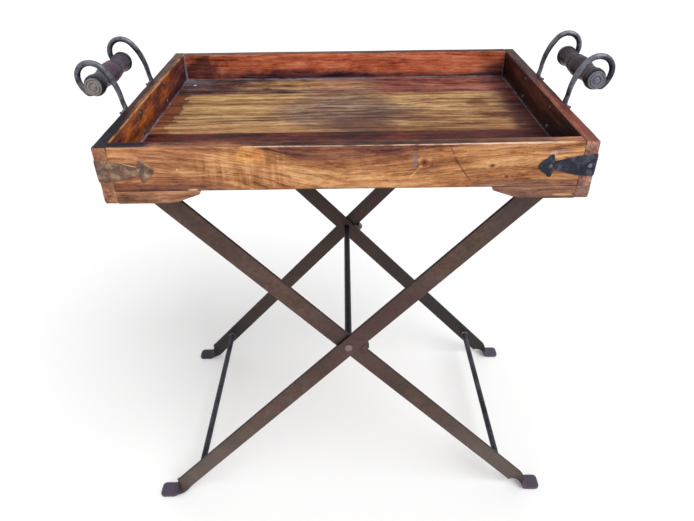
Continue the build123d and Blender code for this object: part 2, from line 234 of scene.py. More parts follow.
def tube_faces(rings, around):
    """The faces of a tube of rings, closed at both ends."""
    faces = []
    for ring in range(rings - 1):
        for index in range(around):
            following = (index + 1) % around
            faces.append([ring * around + index, ring * around + following,
                          (ring + 1) * around + following, (ring + 1) * around + index])
    return faces + [list(range(around)), list(range((rings - 1) * around, rings * around))]


def sweep(stations):
    """A bar through stations of (centre, u direction, v direction, half u, half v, radius)."""
    points = []
    for centre, u_dir, v_dir, half_u, half_v, radius in stations:
        section = rounded_section(half_u, half_v, radius)
        points += [centre + u_dir * u + v_dir * v for u, v in section]
    around = len(points) // len(stations)
    return Shape(points, tube_faces(len(stations), around))


def lathe(origin, axis, profile, segments=32, wobble=0.0, seed=0, turn=0.0):
    """Turn (distance along, radius) points, in millimetres, round an axis; ends are closed."""
    origin, axis = Vector(origin), Vector(axis).normalized()
    first = axis.orthogonal().normalized()
    second = axis.cross(first)
    points = []
    for along, radius in profile:
        centre = origin + axis * (along * MM)
        radius = max(radius, 0.02) * MM
        for index in range(segments):
            angle = turn + 2 * pi * index / segments
            out = first * cos(angle) + second * sin(angle)
            bump = 1 + wobble * noise.noise(Vector((cos(angle), sin(angle), seed * 3.7)) * 1.7)
            points.append(centre + out * radius * bump)
    return Shape(points, tube_faces(len(profile), segments))


def dome(radius, height, steps=5):
    """Profile of a domed head, from its rim to its top."""
    return [(height * sin(pi / 2 * i / steps), radius * cos(pi / 2 * i / steps))
            for i in range(steps + 1)]


def mirrored(half, *between):
    """A whole profile from the half on its far side."""
    return [(-along, radius) for along, radius in reversed(half)] + [*between, *half]


def bevelled_prism(outline, origin, x_dir, y_dir, thickness, bevel):
    """Extrude a flat outline along x cross y, and round all its edges a little."""
    origin, x_dir, y_dir = Vector(origin), Vector(x_dir), Vector(y_dir)
    normal = x_dir.cross(y_dir) * thickness
    builder = bmesh.new()
    base = [builder.verts.new(origin + x_dir * x + y_dir * y) for x, y in outline]
    face = builder.faces.new(base)
    lifted = bmesh.ops.extrude_face_region(builder, geom=[face])["geom"]
    for element in lifted:
        if isinstance(element, bmesh.types.BMVert):
            element.co += normal
    bmesh.ops.bevel(builder, geom=list(builder.edges), offset=bevel, segments=2,
                    profile=0.6, affect="EDGES", clamp_overlap=True)
    builder.verts.index_update()
    points = [vertex.co.copy() for vertex in builder.verts]
    faces = [[vertex.index for vertex in face.verts] for face in builder.faces]
    builder.free()
    return Shape(points, faces)


def tangent_arc(start, heading, end, steps):
    """Points of the arc that leaves start along heading and ends at end; and its last heading."""
    chord = end - start
    turn = atan2(heading.cross(chord), heading.dot(chord))
    points = []
    for step in range(1, steps + 1):
        t = step / steps
        reach = chord.length * (sin(turn * t) / sin(turn) if abs(turn) > 1e-5 else t)
        points.append(start + Matrix.Rotation(turn * t, 2) @ heading * reach)
    return points, Matrix.Rotation(2 * turn, 2) @ heading


# ---------------------------------------------------------------- material helpers
def light(colour):
    """A colour as eyes see it, 0 to 255, turned into light."""
    values = [value / 255 for value in colour]
    return tuple(value / 12.92 if value <= 0.04045 else ((value + 0.055) / 1.055) ** 2.4
                 for value in values) + (1.0,)


class Surface:
    """Builds the nodes of one material. mm, x, y and z give the place in millimetres."""

    def __init__(self, name):
        self.material = bpy.data.materials.new(f"{name}_look")
        self.material.use_nodes = True
        self.nodes = self.material.node_tree.nodes
        self.links = self.material.node_tree.links
        self.nodes.clear()
        self.shader = self.nodes.new("ShaderNodeBsdfPrincipled")
        output = self.nodes.new("ShaderNodeOutputMaterial")
        self.links.new(self.shader.outputs[0], output.inputs[0])
        coordinates = self.nodes.new("ShaderNodeTexCoord")
        self.place = coordinates.outputs["Object"]
        self.normal = coordinates.outputs["Normal"]
        self.mm = self.stretch(self.place, 1000, 1000, 1000)
        self.x, self.y, self.z = self.split(self.mm)

    def put(self, socket, value):
        if isinstance(value, bpy.types.NodeSocket):
            self.links.new(value, socket)
        else:
            socket.default_value = light(value) if socket.type == "RGBA" else value

    def set(self, name, value):
        self.put(self.shader.inputs[name], value)

    def node(self, kind, *values, **options):
        """A new node with its inputs filled in order. None leaves an input as it is."""
        node = self.nodes.new(f"ShaderNode{kind}")
        for option, value in options.items():
            setattr(node, option, value)
        for socket, value in zip(node.inputs, values):
            if value is not None:
                self.put(socket, value)
        return node

    def math(self, operation, *values):
        return self.node("Math", *values, operation=operation).outputs[0]

    def plus(self, first, second):
        return self.math("ADD", first, second)

    def minus(self, first, second):
        return self.math("SUBTRACT", first, second)

    def scaled(self, value, factor, offset=0.0):
        return self.math("MULTIPLY_ADD", value, factor, offset)

    def size(self, value):
        return self.math("ABSOLUTE", value)

    def times(self, *values):
        product = values[0]
        for value in values[1:]:
            product = self.math("MULTIPLY", product, value)
        return product

    def vector(self, operation, *values):
        node = self.node("VectorMath", *values, operation=operation)
        return node.outputs["Value" if operation in ("LENGTH", "DOT_PRODUCT") else "Vector"]

    def split(self, vector):
        return self.node("SeparateXYZ", vector).outputs[:3]

    def join(self, x, y, z):
        return self.node("CombineXYZ", x, y, z).outputs[0]

    def stretch(self, vector, x, y, z):
        return self.vector("MULTIPLY", vector, (x, y, z))

    def noise(self, vector, scale=1.0, detail=2.0, roughness=0.5, seed=0.0):
        moved = self.vector("ADD", vector, (seed * 1.7, seed * 2.3, seed * 3.1))
        return self.node("TexNoise", moved, None, scale, detail, roughness).outputs["Fac"]

    def steps(self, value, low, high, to_low=0.0, to_high=1.0):
        """Smoothly from to_low at low to to_high at high."""
        return self.node("MapRange", value, low, high, to_low, to_high,
                         interpolation_type="SMOOTHSTEP").outputs[0]

    def mix(self, share, first, second, blend="MIX"):
        unused = [None] * 5
        return self.node("Mix", share, *unused, first, second, data_type="RGBA",
                         blend_type=blend).outputs[2]

    def ramp(self, value, *stops):
        node = self.node("ValToRGB", value)
        elements = node.color_ramp.elements
        while len(elements) < len(stops):
            elements.new(0.5)
        for element, (position, colour) in zip(elements, stops):
            element.position = position
            element.color = light(colour)
        return node.outputs[0]

    def bump(self, height, strength, depth):
        """Fine relief, depth in millimetres."""
        node = self.nodes.new("ShaderNodeBump")
        for name, value in ("Strength", strength), ("Distance", depth * MM), ("Height", height):
            self.put(node.inputs[name], value)
        self.set("Normal", node.outputs[0])

    # Masks: 1 where the surface is in the named place, 0 elsewhere.
    def facing(self, x, y, z):
        return self.steps(self.vector("DOT_PRODUCT", self.normal, (x, y, z)), 0.45, 0.8)

    def near(self, coordinate, value, width):
        return self.steps(self.size(self.minus(coordinate, value)), width, 0.35 * width)

    def beyond(self, coordinate, value, blur):
        return self.steps(coordinate, value - blur / 2, value + blur / 2)

    def below(self, coordinate, value, blur):
        return self.minus(1.0, self.beyond(coordinate, value, blur))

    def spot(self, centre, radii, blur=0.5, ragged=0.5, grit=60.0, seed=0.0):
        """An uneven oval. A radius of None means that axis doesn't matter."""
        away = self.vector("SUBTRACT", self.mm, centre)
        away = self.stretch(away, *[0.0 if radius is None else 1 / radius for radius in radii])
        uneven = self.noise(self.place, grit, 3.0, 0.6, seed + centre[0] * 0.01)
        distance = self.plus(self.vector("LENGTH", away),
                             self.times(self.minus(uneven, 0.5), 2 * ragged))
        return self.steps(distance, 1 + blur / 2, 1 - blur / 2)

    def line(self, start, end, width):
        """A thin line from start to end, wavering a little."""
        run = Vector(end) - Vector(start)
        away = self.vector("SUBTRACT", self.mm, start)
        share = self.math("DIVIDE", self.vector("DOT_PRODUCT", away, run), run.length_squared)
        share = self.node("Clamp", share).outputs[0]
        along = self.vector("SCALE", run, None, None, share)
        distance = self.vector("LENGTH", self.vector("SUBTRACT", away, along))
        waver = self.minus(self.noise(self.place, 90.0), 0.5)
        return self.steps(self.plus(distance, self.times(waver, 2.5 * width)), width,
                          0.4 * width)


# ---------------------------------------------------------------- wood
# Palettes: dark figure, body and light figure of the wood.
gold = ((112, 62, 34), (188, 128, 82), (228, 174, 120))
pale = ((100, 62, 46), (174, 122, 92), (214, 164, 126))
amber = ((92, 50, 36), (164, 106, 72), (212, 154, 106))
figure = ((54, 28, 30), (122, 74, 60), (172, 116, 84))
greyed = ((72, 48, 44), (132, 92, 76), (176, 134, 108))
red = ((104, 36, 26), (212, 112, 78), (244, 160, 120))
plum = ((26, 16, 28), (68, 36, 44), (118, 66, 64))
khaki = ((76, 42, 24), (164, 120, 78), (218, 178, 124))
ashen = ((50, 34, 38), (114, 86, 76), (172, 144, 122))
maroon = ((28, 6, 10), (94, 34, 26), (150, 72, 48))
umber = ((34, 18, 20), (90, 56, 44), (144, 100, 74))
soot_and_shade = ((6, 4, 14), (22, 16, 34), (58, 44, 58))
dust = (158, 160, 176)
raw_wood = (226, 186, 150)
line_brown = (58, 26, 20)
crack_brown = (44, 24, 20)


def wood(name, grain, seed, base, paint=None, knots=(), gloss=0.5, curl=None, bow=None,
         line_scale=400, line_share=0.5, ring_scale=150, mottled=0.5, wave=9):
    """Oiled hardwood: streaky figure, fibres, pores and knots, then painted places.

    grain is the axis that the fibres run along. paint(surface) gives rows of masks and, last,
    a palette or a colour. knots are (place, radius). curl is a mask of rippled figure.
    bow(surface) is how far the grain swings up at a place. line_scale and line_share are the
    fineness and the strength of the dark lines, ring_scale the growth lines in one metre,
    mottled the strength of the blotches and wave how far the grain wanders.
    """
    s = Surface(name)
    x, y, z = s.split(s.place)
    along, across, deep = (x, y, z) if grain == 0 else (y, x, z)
    flat = s.join(along, across, deep)
    drift = s.noise(s.stretch(flat, 2.6, 9, 9), seed=seed)
    bend = s.noise(s.stretch(flat, 11, 28, 28), seed=seed + 5)
    shift = s.scaled(drift, 0.034, s.scaled(bend, wave * MM, -0.017 - 0.5 * wave * MM))
    across = s.plus(across, shift)
    deep = s.plus(deep, shift)
    if bow is not None:
        deep = s.scaled(bow(s), -MM, deep)
    for place, radius in knots:
        away = s.stretch(s.vector("SUBTRACT", s.mm, place), *[1 / radius] * 3)
        pull = s.times(s.steps(s.vector("LENGTH", away), 3.2, 0.3), 1.4 * radius * MM)
        across = s.plus(across, pull)
        deep = s.plus(deep, pull)

    def grained(run, width, detail, roughness, extra):
        stretched = s.join(s.times(along, run), s.times(across, width), s.times(deep, width))
        return s.noise(stretched, 1.0, detail, roughness, seed + extra)

    broad = grained(1.6, 28, 2.0, 0.5, 11)
    streaks = grained(3.6, 0.28 * line_scale, 5.0, 0.72, 13)
    fine = grained(8, line_scale, 3.0, 0.65, 29)
    fibres = grained(26, 2.2 * line_scale, 2.0, 0.6, 17)
    pores = s.steps(grained(75, 1500, 1.0, 0.5, 19), 0.62, 0.72)
    mottle = s.noise(s.stretch(flat, 28, 70, 70), 1.0, 5.0, 0.72, seed + 31)
    rings = s.plus(s.times(s.plus(across, deep), ring_scale),
                   s.scaled(streaks, 1.8, s.times(mottle, 0.8)))
    rings = s.math("FRACT", rings)
    rings = s.times(s.steps(rings, 0.45, 0.92), s.steps(rings, 1.0, 0.95),
                    s.steps(broad, 0.38, 0.6, 0.35, 1.0))
    tone = s.scaled(broad, 0.9, s.scaled(streaks, 1.25, s.scaled(fine, 0.5, -0.825)))
    tone = s.plus(tone, s.scaled(mottle, 2 * mottled, 0.06 - mottled))
    tone = s.minus(tone, s.times(rings, 0.16))
    if curl is not None:
        ripple = s.noise(s.stretch(flat, 150, 16, 16), 1.0, 2.0, 0.6, seed + 23)
        tone = s.plus(tone, s.times(s.minus(ripple, 0.47), 0.85, curl(s)))

    def coloured(palette):
        return s.ramp(tone, *zip((0.18, 0.5, 0.82), palette))

    colour = coloured(base)
    for *masks, over in (paint(s) if paint else ()):
        over = coloured(over) if isinstance(over[0], tuple) else over
        colour = s.mix(s.times(*masks), colour, over)
    lines = s.times(s.steps(fine, 0.54, 0.63), s.steps(streaks, 0.62, 0.4, 0.3, 1.0),
                    line_share)
    colour = s.mix(lines, colour, line_brown)
    for place, radius in knots:
        rim_of_knot = s.spot(place, (1.5 * radius, radius, radius), 0.9, 0.25, 150)
        colour = s.mix(s.times(0.7, rim_of_knot), colour, (110, 54, 36))
        heart = s.spot(place, (0.6 * radius, 0.5 * radius, 0.5 * radius), 0.7, 0.3, 200)
        colour = s.mix(s.times(0.7, heart), colour, (66, 28, 24))
    shading = s.ramp(fibres, (0.34, (178, 170, 168)), (0.56, (255, 255, 255)))
    colour = s.mix(0.6, colour, shading, "MULTIPLY")
    s.set("Base Color", s.mix(s.times(0.5, pores), colour, crack_brown))
    s.set("Roughness", s.scaled(streaks, -0.16, s.scaled(fibres, 0.22, gloss)))
    s.set("Specular IOR Level", 0.12)
    s.bump(s.scaled(streaks, 0.8, s.scaled(fine, 0.5, s.times(pores, -0.6))), 0.5, 0.35)
    return s.material


# Places in millimetres, for the masks.
face_y = tray_low.y / MM
rim = rim_z / MM
wall_foot = low_z / MM
planks = floor_top / MM
inner_x = inner_high.x / MM
UP, FRONT, BACK, LEFT, RIGHT = (0, 0, 1), (0, -1, 0), (0, 1, 0), (-1, 0, 0), (1, 0, 0)


def bow_front(s):
    """The grain hangs in an arch about x = -30 mm, steeper on its left."""
    away = s.minus(s.x, -30)
    left = s.math("DIVIDE", s.math("MINIMUM", away, 0.0), 74)
    right = s.math("DIVIDE", s.math("MAXIMUM", away, 0.0), 170)
    squared = s.plus(s.times(left, left), s.times(right, right))
    return s.times(s.math("DIVIDE", squared, s.scaled(squared, 0.6, 1.0)), 26)


def curl_front(s):
    return s.spot((-118, face_y, wall_foot + 26), (56, None, 26), 0.9, 0.3, 20)


def paint_front(s):
    def spot(x, z, half_x, half_z, *looks):
        return s.spot((x, face_y, z), (half_x, None, half_z), *looks)

    front, top = s.facing(*FRONT), s.facing(*UP)
    uneven = s.scaled(s.noise(s.stretch(s.place, 26, 26, 60), 1.0, 3.0, 0.6, 7), 10, -5)
    depth = s.plus(s.minus(s.z, bow_front(s)), uneven)
    arch = s.times(s.steps(depth, rim - 19.5, rim - 16.5), s.steps(s.x, 230, 120))
    edge = s.times(s.near(s.y, face_y, 2.6), s.near(s.z, rim, 2.8))
    worn = s.steps(s.noise(s.place, 26, 3.0, 0.6, 4), 0.34, 0.5)
    edge_right = s.times(s.beyond(s.x, -125, 40), s.steps(s.x, 275, 200, 0.4, 1.0))
    top_right = s.times(s.beyond(s.x, -108, 30), s.below(s.x, 235, 24))
    bend = (124, face_y, rim - 19)
    scratches = (s.line((116, face_y, rim), bend, 0.8),
                 s.line(bend, (143, face_y, rim - 46), 1.0))
    flame = s.line((85, face_y, rim - 28), (73, face_y, rim - 42), 1.8)
    chips = (spot(-178, wall_foot + 1, 5, 1.6, 0.5, 0.6, 300),
             spot(-193, wall_foot + 27, 1.2, 1.2, 0.5, 0.4, 400),
             spot(235, strap_z / MM + 14, 4, 4.5, 0.5, 0.7, 260))
    bright = ((174, 102, 50), (226, 154, 88), (242, 192, 124))
    return [(front, s.beyond(s.x, 60, 160), gold),
            (front, spot(-5, wall_foot + 12, 100, 18, 1.0, 0.5, 24), gold),
            (front, 0.95, curl_front(s), gold),
            (front, 0.9, spot(-108, rim - 11, 17, 10, 0.8, 0.5, 60), bright),
            (front, 0.7, spot(-255, rim - 8, 14, 7, 0.8, 0.6, 70), gold),
            (front, 0.92, arch, figure),
            (front, 0.7, spot(-200, wall_foot - 3, 75, 15, 0.8, 0.5, 30), figure),
            (front, 0.8, spot(-185, wall_foot + 5, 26, 4, 0.6, 0.5, 60), figure),
            (front, 0.8, spot(225, wall_foot + 2, 70, 8, 0.9, 0.5, 40), greyed),
            (front, 0.7, spot(242, rim - 11, 18, 4, 0.7, 0.5, 60), greyed),
            (top, 0.5, ((58, 30, 24), (122, 72, 54), (176, 116, 86))),
            (top, top_right, umber),
            (top, s.below(s.x, -222, 16), soot_and_shade),
            (front, 0.75, spot(78.5, rim - 20, 2.4, 9, 0.5, 0.4, 160), (132, 122, 126)),
            (front, 0.55, flame, (232, 176, 112)),
            (front, 0.15, s.near(s.size(s.x), inner_x, 1.1), (90, 52, 38)),
            (0.6, s.below(s.z, wall_foot + 1.2, 1.4), (62, 34, 26)),
            *[(front, 0.7, scratch, (92, 40, 28)) for scratch in scratches],
            *[(front, 0.8, chip, raw_wood) for chip in chips],
            # A pale line along the top front edge, whitest towards the right: worn wood and a
            # painted highlight.
            (0.4, edge, (214, 150, 104)),
            (edge, worn, edge_right, (244, 206, 178))]


def corner_dust(s, back_width=4.0):
    """Pale wax and dust in the inner corners: at the ends, back, front and floor."""
    uneven = s.steps(s.noise(s.place, 34, 3.0, 0.65, 8), 0.36, 0.62, 0.2, 1.0)
    return [s.times(uneven, line) for line in (
        s.near(s.size(s.x), inner_x, 2.4), s.near(s.y, inner_high.y / MM, back_width),
        s.near(s.y, inner_low.y / MM, 2.4), s.near(s.z, planks, 2.0))]


def paint_back(s):
    def spot(x, up, half_x, half_z, *looks):
        return s.times(inside, s.spot((x, 0, planks + up), (half_x, None, half_z), *looks))

    inside = s.facing(*FRONT)
    end_line, _, _, floor_line = corner_dust(s)
    glowing = ((166, 72, 46), (220, 124, 86), (244, 172, 130))
    return [(s.facing(*BACK), greyed),
            (inside, red),
            (0.6, spot(-30, rim - planks - 14, 120, 14, 1.0, 0.6, 30), glowing),
            # Plum and soot along the foot of the inner face and in both back corners: dirt and
            # painted shade.
            (spot(-90, 1, 150, 13, 0.9, 0.55, 30, 3), plum),
            (0.7, spot(90, -2, 150, 10, 0.9, 0.5, 30, 5), plum),
            (0.85, spot(-246, 18, 27, 24, 1.0, 1.3, 38, 16), plum),
            (0.8, spot(258, 10, 26, 16, 0.9, 0.45, 40, 9), plum),
            (0.8, spot(240, 1, 50, 7, 0.9, 0.4, 40, 9), soot_and_shade),
            (0.6, inside, floor_line, dust),
            (0.8, inside, end_line, dust),
            (0.65, inside, s.near(s.x, inner_low.x / MM, 3.6), dust)]


def paint_left_end(s):
    inside, top = s.facing(*RIGHT), s.facing(*UP)
    _, back_corner, _, floor_line = corner_dust(s, back_width=3.0)
    wall_x = inner_low.x / MM
    front_y = inner_low.y / MM
    patches = s.steps(s.noise(s.stretch(s.place, 12, 15, 32), 1.0, 4.0, 0.65, 2), 0.42, 0.64)
    low_dark = s.spot((wall_x, 20, planks + 4), (None, 110, 10), 0.9, 0.6, 40)
    smudge = s.spot((wall_x, -66, rim - 11), (None, 10, 6), 0.9, 0.6, 90)
    edge = s.times(s.near(s.x, wall_x, 2.4), s.near(s.z, rim, 2.6), s.beyond(s.y, front_y, 4))
    inner_half = s.spot((wall_x, -10, rim), (6, 90, None), 0.8, 0.9, 60)
    worn = s.steps(s.noise(s.place, 30, 3.0, 0.65, 12), 0.4, 0.58, 0.15, 1.0)
    return [(inside, ((78, 34, 18), (164, 84, 34), (212, 122, 54))),
            (inside, patches, plum),
            (0.85, inside, s.beyond(s.y, 95, 70), plum),
            # Darker along the foot of the inner face: dirt and painted shade.
            (0.8, inside, low_dark, plum),
            (0.8, inside, smudge, soot_and_shade),
            (inside, s.below(s.y, front_y, 1), (56, 32, 26)),
            (top, ((32, 16, 16), (78, 50, 41), (130, 93, 70))),
            (0.55, top, inner_half, ((110, 66, 36), (168, 108, 60), (214, 158, 98))),
            (top, s.below(s.y, -95, 60), soot_and_shade),
            # A golden line along the inner top edge: worn wood and a painted highlight.
            (0.8, edge, worn, (206, 146, 84)),
            (0.45, s.facing(*FRONT), (134, 102, 86)),
            (0.6, inside, back_corner, dust),
            (0.85, inside, floor_line, dust)]


def paint_right_end(s):
    inside, top = s.facing(*LEFT), s.facing(*UP)
    _, _, _, floor_line = corner_dust(s)
    front_low = s.spot((inner_x, -150, planks), (None, 60, 40), 1.0, 0.5, 30)
    streak = s.spot((inner_x, 40, rim - 12), (None, 110, 9), 1.0, 0.6, 40)
    back_top = ((20, 8, 11), (46, 21, 23), (80, 42, 41))
    # Near black inside: dark wood deepened by painted shade, as this face turns away from the
    # light.
    return [(inside, ((16, 8, 12), (48, 25, 23), (92, 50, 38))),
            # Its front bottom corner is darker still: dirt and painted shade.
            (0.7, inside, front_low, soot_and_shade),
            (0.6, inside, streak, ((40, 18, 14), (86, 44, 30), (120, 68, 44))),
            (top, ((40, 15, 17), (98, 42, 39), (160, 90, 68))),
            (0.9, top, s.beyond(s.y, 20, 120), back_top),
            (0.5, top, s.below(s.y, -110, 50), (150, 88, 70)),
            (0.35, s.facing(*RIGHT), umber),
            (s.facing(*FRONT), ((88, 54, 46), (152, 106, 90), (198, 156, 140))),
            (0.35, inside, floor_line, dust)]


def plank_spots(s):
    """Ovals on the planks' top, and the dark dirt and painted shade along the right-hand wall."""
    def spot(x, y, half_x, half_y, *looks):
        return s.spot((x, y, planks), (half_x, half_y, None), *looks)

    top = s.facing(*UP)
    # Dark plum along the right-hand wall: dirt and painted shade in the corner by the wall.
    return spot, top, (0.75, top, spot(inner_x, 0, 34, None, 0.9, 0.7, 26, 5), plum)


def paint_back_plank(s):
    spot, top, dirt_and_shade = plank_spots(s)
    end_line, back_line, _, _ = corner_dust(s)
    return [(0.85, spot(-60, 148, 105, 22, 0.9, 0.7, 30), khaki),
            (0.35, top, s.beyond(s.x, -60, 60), (190, 134, 114)),
            (0.55, s.below(s.x, -165, 90), plum),
            (0.9, s.beyond(s.x, 55, 30), ((62, 26, 32), (136, 74, 66), (184, 118, 98))),
            (0.6, top, spot(-60, 121, 190, 3.0, 0.6, 0.5, 40), (40, 20, 18)),
            dirt_and_shade,
            (0.3, top, spot(-262, 178, 40, 26, 1.0, 0.5, 40), dust),
            # A white dot at the back left: the painted glint of a nail head.
            (0.9, top, spot(-249, 156, 2.6, 3.0, 0.4, 0.3, 300), (232, 232, 232)),
            (0.75, top, back_line, dust),
            (0.85, top, end_line, dust)]


def paint_middle_plank(s):
    spot, top, dirt_and_shade = plank_spots(s)
    ragged = (0.25, 0.8, 55, 3)
    left_end = ((52, 20, 16), (122, 64, 42), (166, 104, 70))
    streaks = s.steps(s.noise(s.stretch(s.place, 6, 120, 1), 1.0, 3.0, 0.6, 9), 0.54, 0.66)
    cracks = s.steps(s.noise(s.stretch(s.place, 9, 260, 1), 1.0, 2.0, 0.5, 19), 0.62, 0.7)
    return [(0.9, spot(0, 30, 85, 80, 1.0, 0.7, 22), ashen),
            (0.6, spot(-190, 60, 70, 48, 0.9, 0.6, 30),
             ((116, 80, 44), (182, 142, 88), (220, 184, 122))),
            (0.75, spot(-272, 30, 27, None, *ragged), (52, 18, 14)),
            (0.95, spot(-272, 30, 22, None, *ragged), left_end),
            (0.9, spot(272, 20, 28, None, 0.9, 0.8, 30, 7), maroon),
            (0.75, spot(200, 52, 15, 15, 0.9, 0.6, 60), maroon),
            (0.7, spot(130, -8, 105, 4.5, 0.8, 0.7, 40), maroon),
            (0.75, spot(225, 2, 42, 8, 0.8, 0.7, 40), maroon),
            (0.3, s.below(s.y, -25, 30), gold),
            (0.3, s.below(s.y, -40, 14), (122, 76, 46)),
            (0.7, spot(15, -34, 58, 27, 0.9, 0.7, 26), (92, 58, 52)),
            (0.28, top, streaks, (84, 50, 36)),
            (0.3, top, cracks, crack_brown),
            (0.6, top, cracks, s.beyond(s.x, -70, 90), crack_brown),
            (0.8, top, spot(-140, -12, 62, 2.2, 0.6, 0.4, 30), (34, 16, 14)),
            dirt_and_shade,
            (0.85, top, corner_dust(s)[0], dust)]


def paint_front_plank(s):
    _, top, dirt_and_shade = plank_spots(s)
    end_line, _, front_line, _ = corner_dust(s)
    return [dirt_and_shade, (0.5, s.beyond(s.x, 90, 80), (68, 22, 28)), (0.8, top, end_line, dust),
            (0.3, top, front_line, dust)]


def paint_feet(s):
    bottom = foot_bottom / MM
    chips = s.steps(s.noise(s.place, 120, 3.0, 0.6, 3), 0.68, 0.74)
    raw = s.spot((254, face_y, bottom + 5), (13, 12, 1.6), 0.6, 0.8, 130)
    return [(0.35, s.beyond(s.x, 160, 40), (132, 98, 92)),
            (0.4, s.below(s.z, bottom + 3, 6), soot_and_shade),
            (0.35, chips, raw_wood),
            (0.6, s.facing(*FRONT), s.beyond(s.x, 268, 2), (122, 94, 86)),
            (0.7, raw, (212, 164, 108))]


front_wood = wood("front_board_wood", 0, 1, amber, paint_front, curl=curl_front,
                  bow=bow_front, line_scale=420,
                  knots=[((89, face_y, rim - 23.5), 3.6), ((167, face_y, rim - 28), 2.6),
                         ((185, face_y, wall_foot + 13), 2.0)])
back_wood = wood("back_board", 0, 2, umber, paint_back, gloss=0.42, line_scale=300,
                 line_share=0.35)
left_end_wood = wood("left_end_board", 1, 3, amber, paint_left_end, gloss=0.42,
                     line_scale=260)
right_end_wood = wood("right_end_board", 1, 4, greyed, paint_right_end, gloss=0.4,
                      line_scale=260, line_share=0.4)
plank_looks = {
    "back_plank": wood("back_plank", 0, 5, ashen, paint_back_plank, line_scale=220,
                       ring_scale=50, mottled=0.75, wave=15, line_share=0.7),
    "middle_plank": wood("middle_plank", 0, 6, khaki, paint_middle_plank, gloss=0.52,
                         line_scale=260, line_share=0.6, ring_scale=60, mottled=0.45, wave=14),
    "front_plank": wood("front_plank", 0, 7, maroon, paint_front_plank, gloss=0.45,
                        line_scale=260, ring_scale=60, mottled=0.7, wave=12,
                        knots=[((-107, -76, planks), 3.5), ((96, -66, planks), 3.5)])}
cleat_wood = wood("cleat", 1, 8, umber)
foot_wood = wood("foot", 0, 9, pale, paint_feet)
foot_rail_wood = wood("foot_rail", 1, 10, pale, paint_feet)


# ---------------------------------------------------------------- iron
def iron(name, dark, body, light_tone, seed, roughness=0.45, metal=0.4, pits=1.0,
         clouds_scale=24, painted_top_light=0.0, paint=None):
    """Blackened or patinated iron: cloudy tone, fine pitting and rubbed places.

    painted_top_light is how much paler the upper sides are painted than the undersides, as painted
    light and shade. paint(surface) gives rows of masks and, last, a colour.
    """
    s = Surface(name)
    clouds = s.noise(s.place, clouds_scale, 4.0, 0.62, seed)
    mottle = s.noise(s.place, 160, 3.0, 0.6, seed + 3)
    grit = s.noise(s.place, 900, 2.0, 0.6, seed + 5)
    tone = s.scaled(clouds, 0.75, s.scaled(mottle, 0.5, -0.12))
    # Painted light and shade: upper sides paler, undersides darker.
    if painted_top_light:
        tone = s.scaled(s.vector("DOT_PRODUCT", s.normal, (0, -0.35, 0.94)), painted_top_light, tone)
    colour = s.ramp(tone, (0.25, dark), (0.5, body), (0.78, light_tone))
    for *masks, over in (paint(s) if paint else ()):
        colour = s.mix(s.times(*masks), colour, over)
    s.set("Base Color", colour)
    s.set("Metallic", metal)
    s.set("Specular IOR Level", 0.3)
    s.set("Roughness", s.scaled(mottle, 0.3, s.scaled(grit, 0.14, roughness - 0.22)))
    s.bump(s.scaled(mottle, 0.8, s.times(grit, 0.35)), 0.45 * pits, 0.3)
    return s.material


def paint_legs(s):
    """Black narrow faces as painted shade, a darker back pair, sooty patches and bluish feet."""
    # The narrow faces of the bars, turned neither front nor back, are painted near black: painted
    # shade.
    edges = s.steps(s.size(s.split(s.normal)[1]), 0.93, 0.6)
    streaks = s.steps(s.noise(s.place, 42, 3.0, 0.6, 5), 0.42, 0.66)
    specks = s.steps(s.noise(s.place, 260, 3.0, 0.7, 11), 0.58, 0.7)
    front, back = s.below(s.y, 0, 100), s.beyond(s.y, 0, 100)
    back_high = s.times(back, s.beyond(s.z, 420, 90))
    patch = s.spot((60, face_y, 380), (120, None, 90), 1.0, 0.6, 20)
    return [(0.35, streaks, (84, 54, 38)),
            (0.35, front, s.below(s.z, 150, 160), (110, 100, 96)),
            (0.3, specks, (40, 32, 32)),
            (0.5, patch, (70, 46, 50)),
            (0.5, back, (50, 40, 37)),
            (0.5, front, s.beyond(s.x, 190, 90), s.beyond(s.z, 500, 160), (60, 48, 54)),
            (0.6, back, s.beyond(s.x, 90, 90), s.below(s.z, 330, 120), (34, 33, 38)),
            (0.4, back_high, (46, 36, 33)),
            (0.7, back_high, s.below(s.x, 30, 60), (28, 24, 23)),
            (0.85, edges, (8, 7, 8)),
            (0.85, s.below(s.z, 12, 14), (84, 75, 91)),
            (0.8, back, s.below(s.x, -210, 60), s.below(s.z, 110, 60), (44, 42, 48))]


def paint_pivot(s):
    return [(s.steps(s.size(s.y), 176, 177), (126, 104, 104))]


def paint_hooks(s):
    """The flattened eyes are browner and ringed."""
    flat = s.steps(s.size(s.split(s.normal)[1]), 0.6, 0.85)
    out = s.minus(s.size(s.x), (tray_high.x + grip_out) / MM)
    away = s.vector("LENGTH", s.join(out, 0.0, s.minus(s.z, rim + grip_up / MM)))
    eye = s.times(flat, s.steps(away, 11.6, 10.4))
    rings = [s.steps(s.size(s.minus(away, radius)), 0.8, 0.3) for radius in (4.9, 8.8)]
    return [(0.75, eye, (150, 138, 134)),
            (0.9, eye, s.beyond(s.x, 0, 10), (112, 112, 126)),
            *[(0.26, eye, ring, (60, 54, 58)) for ring in rings]]


def paint_nails(s):
    """The nails in the worn strap at the front left corner are as brown as the strap."""
    worn = s.times(s.below(s.x, -200, 5), s.below(s.y, face_y + 0.5, 0.5))
    return [(0.75, worn, (104, 82, 70))]


def paint_worn_strap(s):
    return [(0.8, s.facing(*UP), (206, 176, 146))]


